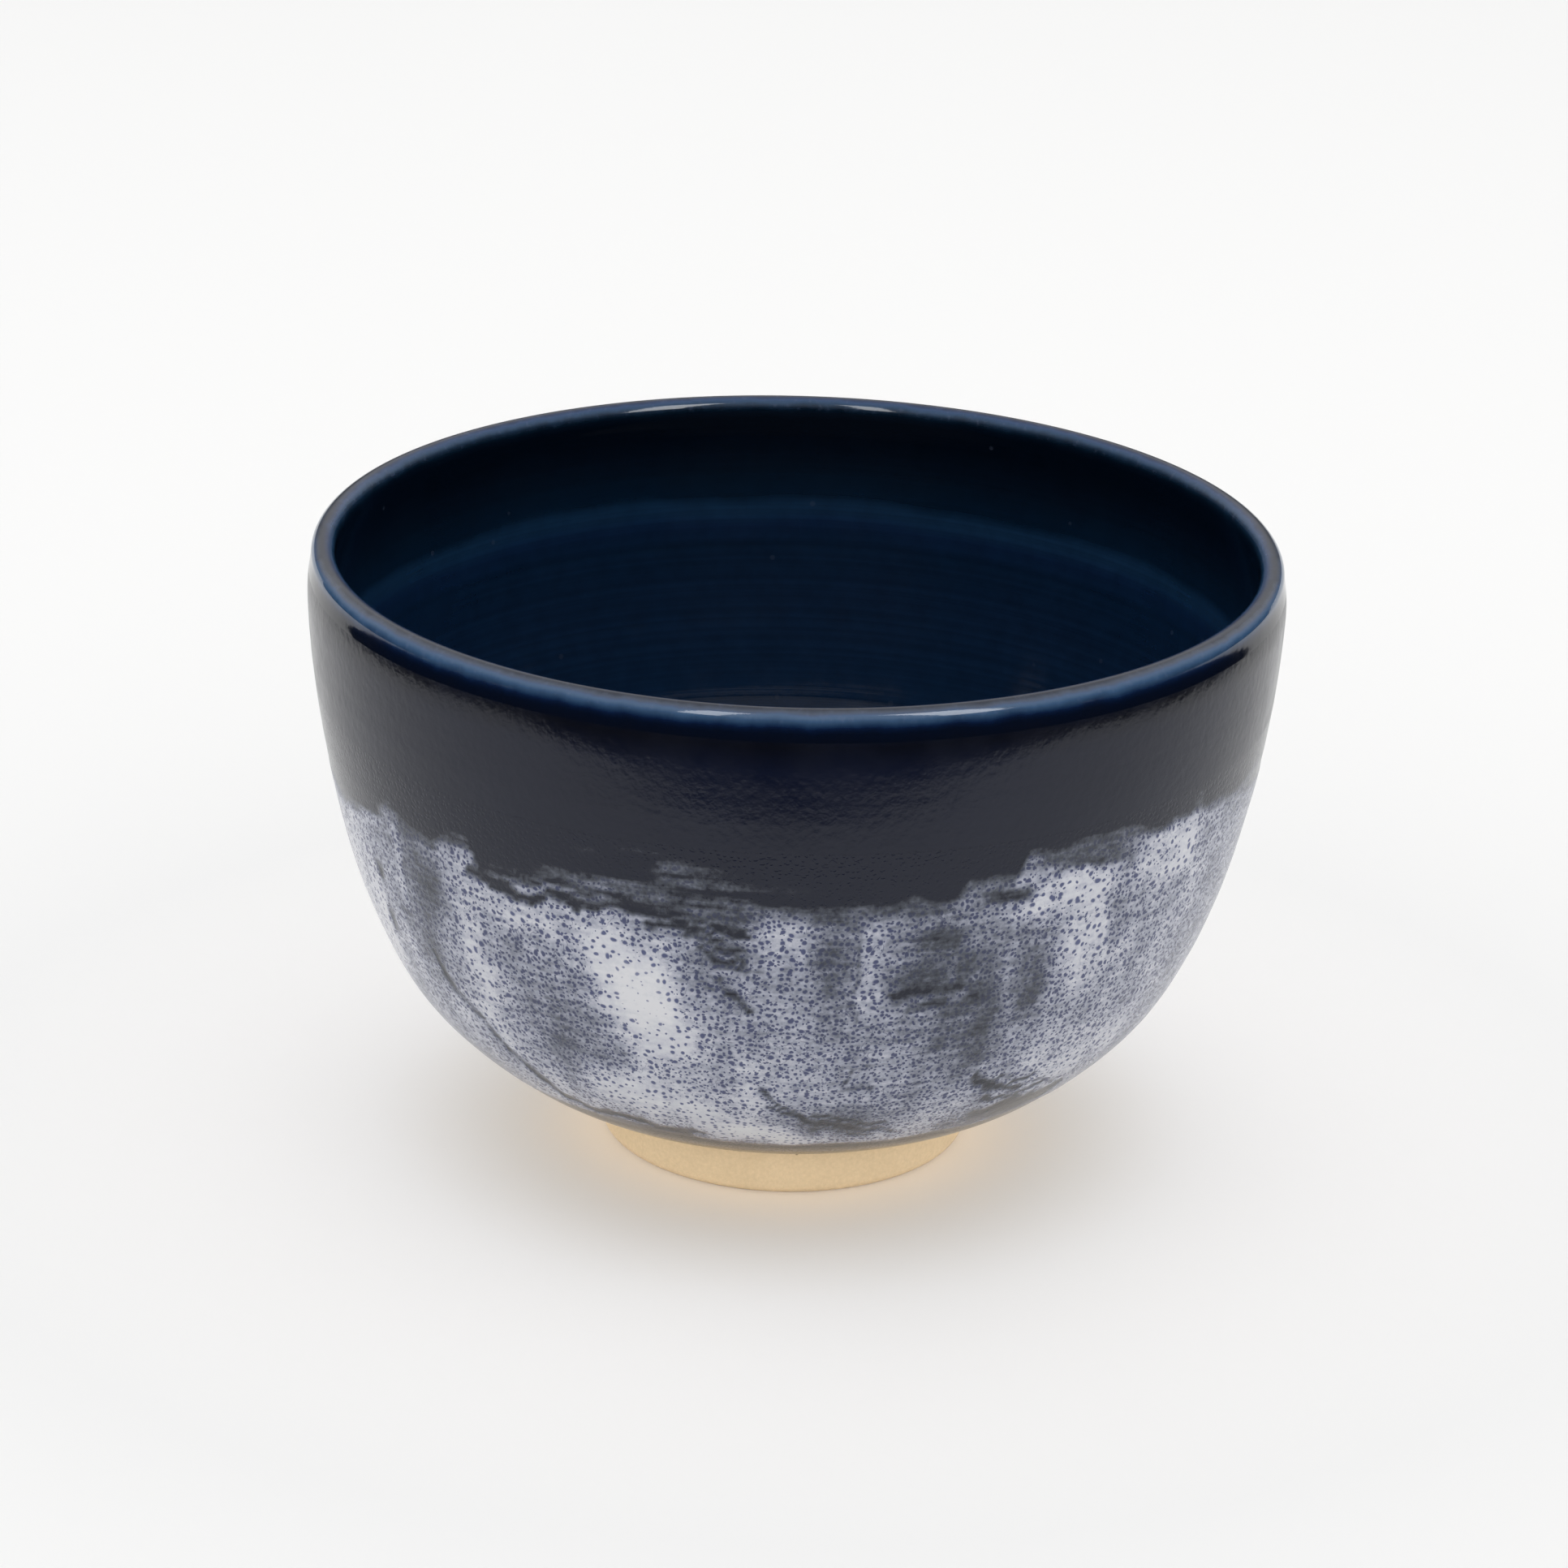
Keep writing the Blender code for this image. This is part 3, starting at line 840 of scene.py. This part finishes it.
def add_white_glaze():
    columns = WHITE_COLUMNS
    start, end = outside_at(WHITE_MESH_TOP), under_at(WHITE_MESH_LOW_RADIUS)
    face = side(start, end, 92)
    back = side(start, end, 12, depth=COAT * 0.9)
    travels = face[0]

    def relief(azimuth, height, travel):
        inner = soft_step(travel, start, start + 0.001) * (1 - soft_step(travel, end - 0.001, end))
        return 0.00014 * soft_step(coat_thickness(azimuth, height), 0.05, 0.9) * inner

    obj = turned("white_brushed_coat", face, back, columns, lift=relief)
    azimuth = np.linspace(-180, 180, columns, endpoint=False)
    spread_azimuth, spread_height = np.meshgrid(azimuth, face[2][:, 1])
    thick = np.zeros((len(travels) + len(back[0]), columns), np.float32)
    thick[: len(travels)] = coat_thickness(spread_azimuth, spread_height)
    stored = obj.data.attributes.new("coat", "FLOAT", "POINT")
    stored.data.foreach_set("value", thick.ravel())
    unroll(obj.data, face, back, columns)
    finish_mesh(obj)
    paint_white(obj)
    stands_for(obj, "white_brushed_glaze")


def unroll(mesh, face, back, columns):
    """A map in millimetres, u round the bowl and v down it, that keeps the spots round."""
    middle_radius = 0.0560
    travels = np.concatenate([face[0], back[0][::-1]])
    radius = OUTLINE[:, 0].clip(0.005)
    grown = np.concatenate([[0], np.cumsum(np.diff(TRAVEL) / ((radius[1:] + radius[:-1]) / 2))])
    down = np.interp(travels, TRAVEL, grown) * middle_radius / MM
    layer = mesh.uv_layers.new(name="roll")
    vertex = np.zeros(len(mesh.loops), int)
    mesh.loops.foreach_get("vertex_index", vertex)
    row, column = vertex // columns, vertex % columns
    column = column.reshape(-1, 4)
    wraps = (column.max(axis=1) - column.min(axis=1)) > columns / 2
    column = np.where(wraps[:, None] & (column == 0), columns, column).ravel()
    u = column / columns * 2 * math.pi * middle_radius / MM
    layer.data.foreach_set("uv", np.stack([u, down[row]], axis=1).astype(np.float32).ravel())


def add_body():
    """The clay under the glazes. It shows as a narrow ring above the foot and as the ceiling of the recess."""
    end = under_at(BODY_END_RADIUS)
    dark_end = under_at(DARK_END_RADIUS)
    travels = np.concatenate([np.linspace(0, dark_end, 120), np.linspace(dark_end, end, 24)[1:]])
    depth = 1.8 * COAT * (1 - soft_step(travels, dark_end - 0.0006, dark_end + 0.0002))
    wall = at_travel(travels, OUTLINE) - depth[:, None] * at_travel(travels, NORMALS)
    shrink = np.linspace(0, 1, 24)
    end_radius = at_travel(travels[-1:], OUTLINE)[0, 0]
    ceiling = np.stack([shrink * end_radius, np.full(24, RECESS_CEILING)], axis=1)
    ceiling[:, 1] += 0.00008 * np.cos(shrink * 22 * math.pi) * (shrink < 0.72)
    azimuth = np.linspace(-180, 180, CLAY_COLUMNS, endpoint=False)
    rows = np.array([ring_of_points(azimuth, radius, height) for radius, height in (*wall, *ceiling[::-1])])
    obj = close_up("stoneware_body", rows, np.full(len(rows), CREST), CLAY_COLUMNS, pole=True)
    finish_mesh(obj)
    paint_clay(obj, "bare_stoneware")
    stands_for(obj, "clay_body")


def add_foot():
    """The turned foot ring, its top buried a little in the body."""
    turns = np.linspace(0, math.pi / 2, 12)
    inset = FOOT_EDGE_ROUNDING * (1 - np.cos(turns))
    rise = FOOT_EDGE_ROUNDING * (1 - np.sin(turns))
    outer = smooth_through(FOOT_OUTSIDE)[::8]
    up_inside = np.linspace(0.1, 1, 12)
    profile = [
        *outer[:-1],
        *zip(FOOT_OUTER_RADIUS - inset, rise),
        *zip((FOOT_INNER_RADIUS + inset)[::-1], rise[::-1]),
        *zip(FOOT_INNER_RADIUS - 0.0002 * up_inside, FOOT_EDGE_ROUNDING + 0.0052 * up_inside),
        (FOOT_INNER_RADIUS - 0.0006, FOOT_TOP),
    ]
    azimuth = np.linspace(-180, 180, CLAY_COLUMNS, endpoint=False)
    rows = []
    for radius, height in profile:
        uneven = 0.00006 * ring_noise(azimuth, np.full(CLAY_COLUMNS, height), 30, 0.0015, 31)
        rows.append(ring_of_points(azimuth, radius + uneven * soft_step(height, 0.0, 0.0012), height))
    rows = np.array(rows)
    obj = close_up("stoneware_foot", rows, np.full(len(rows), CREST), CLAY_COLUMNS, pole=False)
    finish_mesh(obj)
    paint_clay(obj, "turned_stoneware")
    stands_for(obj, "foot_ring")


# Stage

# The floor's colour by metres from the middle of the foot, with painted light: paler and warmer near the foot,
# darker far away
FLOOR_TONES_AND_PAINTED_LIGHT = (
    (0.026, (1.000, 0.950, 0.890)),
    (0.052, (1.000, 0.985, 0.968)),
    (0.110, (0.868, 0.866, 0.862)),
    (0.800, (0.786, 0.785, 0.781)),
)


def add_stage_mesh(name, points, faces, colour, roughness=0.9):
    mesh = bpy.data.meshes.new(name)
    mesh.from_pydata(points, [], faces)
    obj = bpy.data.objects.new(name, mesh)
    bpy.context.scene.collection.objects.link(obj)
    material = bpy.data.materials.new(name)
    material.use_nodes = True
    shader = material.node_tree.nodes["Principled BSDF"]
    shader.inputs["Base Color"].default_value = (*colour, 1)
    shader.inputs["Roughness"].default_value = roughness
    shader.inputs["Specular IOR Level"].default_value = 0.1
    mesh.materials.append(material)
    return obj


def add_floor():
    """A pale table with painted light: paler near the foot against the bowl's shadow, warmer there for the
    cream bounced from the foot, and darker far away.
    """
    size = 8.0
    points = [(-size, -size, 0), (size, -size, 0), (size, size, 0), (-size, size, 0)]
    floor = add_stage_mesh("floor", points, [(0, 1, 2, 3)], (0.9, 0.9, 0.9))
    tree = floor.active_material.node_tree
    away = tree.nodes.new("ShaderNodeVectorMath")
    away.operation = "LENGTH"
    tree.links.new(tree.nodes.new("ShaderNodeTexCoord").outputs["Object"], away.inputs[0])
    # Painted light: the floor's ramp by distance from the foot
    tone = tree.nodes.new("ShaderNodeValToRGB")
    tree.links.new(away.outputs["Value"], tone.inputs["Fac"])
    elements = tone.color_ramp.elements
    elements.new(0.5)
    elements.new(0.6)
    for element, (position, colour) in zip(elements, FLOOR_TONES_AND_PAINTED_LIGHT):
        element.position, element.color = position, (*colour, 1)
    tree.links.new(tone.outputs["Color"], tree.nodes["Principled BSDF"].inputs["Base Color"])


def add_dark_room():
    """What the glaze sees round the front of the table: a dark room. Only reflections see it."""
    far, near, half_width, high = 0.30, -0.165, 0.32, 0.095
    corners = [(-half_width, far), (-half_width, near), (half_width, near), (half_width, far)]
    points = [(x, y, z) for z in (0.0005, high) for x, y in corners]
    faces = [(side, side + 1, side + 5, side + 4) for side in range(3)]
    obj = add_stage_mesh("dark_room", points, faces, (0.002, 0.002, 0.003), 1.0)
    obj.visible_camera = obj.visible_diffuse = obj.visible_shadow = False
    obj.visible_transmission = obj.visible_volume_scatter = False


def add_softbox(name, azimuth, elevation, width, length, brightness):
    """A tall light in front of the bowl, seen from its lip at this azimuth and elevation, sized in degrees."""
    turn, lift = math.radians(azimuth), math.radians(elevation)
    towards = Vector((math.sin(turn) * math.cos(lift), -math.cos(turn) * math.cos(lift), math.sin(lift)))
    light = bpy.data.lights.new(name, "AREA")
    light.shape = "RECTANGLE"
    light.size = 2 * SOFTBOX_DISTANCE * math.tan(math.radians(width / 2))
    light.size_y = 2 * SOFTBOX_DISTANCE * math.tan(math.radians(length / 2))
    light.energy = brightness * light.size * light.size_y * math.pi
    obj = bpy.data.objects.new(name, light)
    bpy.context.scene.collection.objects.link(obj)
    obj.visible_diffuse = False
    obj.location = Vector((0, 0, HEIGHT)) + SOFTBOX_DISTANCE * towards
    obj.rotation_euler = (-towards).to_track_quat("-Z", "Y").to_euler()


# How bright the white room is overhead, and low down round the table
SKY_ABOVE = 0.79
SKY_LOW = 4.45
# How the glazes mirror that room in front and behind: where its brightness starts and stops to rise, how far
MIRRORED_IN_FRONT = ((0.16, 0.74), (0.05, 0.82))
MIRRORED_BEHIND = ((0.06, 0.46), (0.10, 0.86))
FRONT_TO_BACK = (0.05, 0.70)
SOFTBOX_DISTANCE = 0.55


def add_light():
    world = bpy.data.worlds.new("white_room")
    bpy.context.scene.world = world
    world.use_nodes = True
    nodes, links = world.node_tree.nodes, world.node_tree.links

    def ranged(value, span, strengths, kind="SMOOTHSTEP"):
        made = nodes.new("ShaderNodeMapRange")
        made.interpolation_type = kind
        links.new(value, made.inputs["Value"])
        for socket, number in zip(("From Min", "From Max", "To Min", "To Max"), (*span, *strengths)):
            made.inputs[socket].default_value = number
        return made.outputs["Result"]

    def mixed(share, a, b):
        made = nodes.new("ShaderNodeMix")
        for socket, value in (("Factor", share), ("A", a), ("B", b)):
            links.new(value, made.inputs[socket])
        return made.outputs["Result"]

    direction = nodes.new("ShaderNodeSeparateXYZ")
    links.new(nodes.new("ShaderNodeTexCoord").outputs["Generated"], direction.inputs[0])
    back, height = direction.outputs["Y"], direction.outputs["Z"]
    steep = nodes.new("ShaderNodeMath")
    steep.operation = "POWER"
    links.new(ranged(height, (0, 1), (1, 0), "LINEAR"), steep.inputs[0])
    steep.inputs[1].default_value = 3.0
    bright = ranged(steep.outputs[0], (0, 1), (SKY_ABOVE, SKY_LOW), "LINEAR")
    in_front, behind = ranged(height, *MIRRORED_IN_FRONT), ranged(height, *MIRRORED_BEHIND)
    mirrored = mixed(ranged(back, FRONT_TO_BACK, (0, 1)), in_front, behind)
    glossy = nodes.new("ShaderNodeLightPath").outputs["Is Glossy Ray"]
    background = nodes["Background"].inputs
    background["Color"].default_value = (1, 1, 1, 1)
    links.new(mixed(glossy, bright, mirrored), background["Strength"])
    add_softbox("softbox_left", -21, 43, 8, 36, 8.0)
    add_softbox("softbox_right", 42, 43, 14, 36, 8.5)


# Camera: where it stands, how far it looks down, how far it is turned and rolled, in degrees
CAMERA_PLACE = (0.0, -0.620, 0.292)
LOOK_DOWN = 21.68
LOOK_ASIDE = -0.088
ROLL = 1.541
LENS = 122.8


def add_camera():
    data = bpy.data.cameras.new("camera")
    data.lens = LENS
    data.sensor_width = 36.0
    data.clip_start = 0.01
    data.clip_end = 50
    obj = bpy.data.objects.new("camera", data)
    bpy.context.scene.collection.objects.link(obj)
    down, aside, roll = math.radians(LOOK_DOWN), math.radians(LOOK_ASIDE), math.radians(ROLL)
    forward = Vector((math.sin(aside) * math.cos(down), math.cos(aside) * math.cos(down), -math.sin(down)))
    level = forward.cross(Vector((0, 0, 1))).normalized()
    upright = level.cross(forward)
    right = math.cos(roll) * level + math.sin(roll) * upright
    above = math.cos(roll) * upright - math.sin(roll) * level
    axes = Matrix((right, above, -forward)).transposed().to_4x4()
    obj.matrix_world = Matrix.Translation(Vector(CAMERA_PLACE)) @ axes
    bpy.context.scene.camera = obj


add_body()
add_foot()
add_inner_glaze()
add_lip_glaze()
add_dark_glaze()
add_white_glaze()
add_floor()
add_dark_room()
add_light()
add_camera()
bpy.context.scene.view_settings.view_transform = "Standard"
bpy.context.scene.view_settings.look = "None"
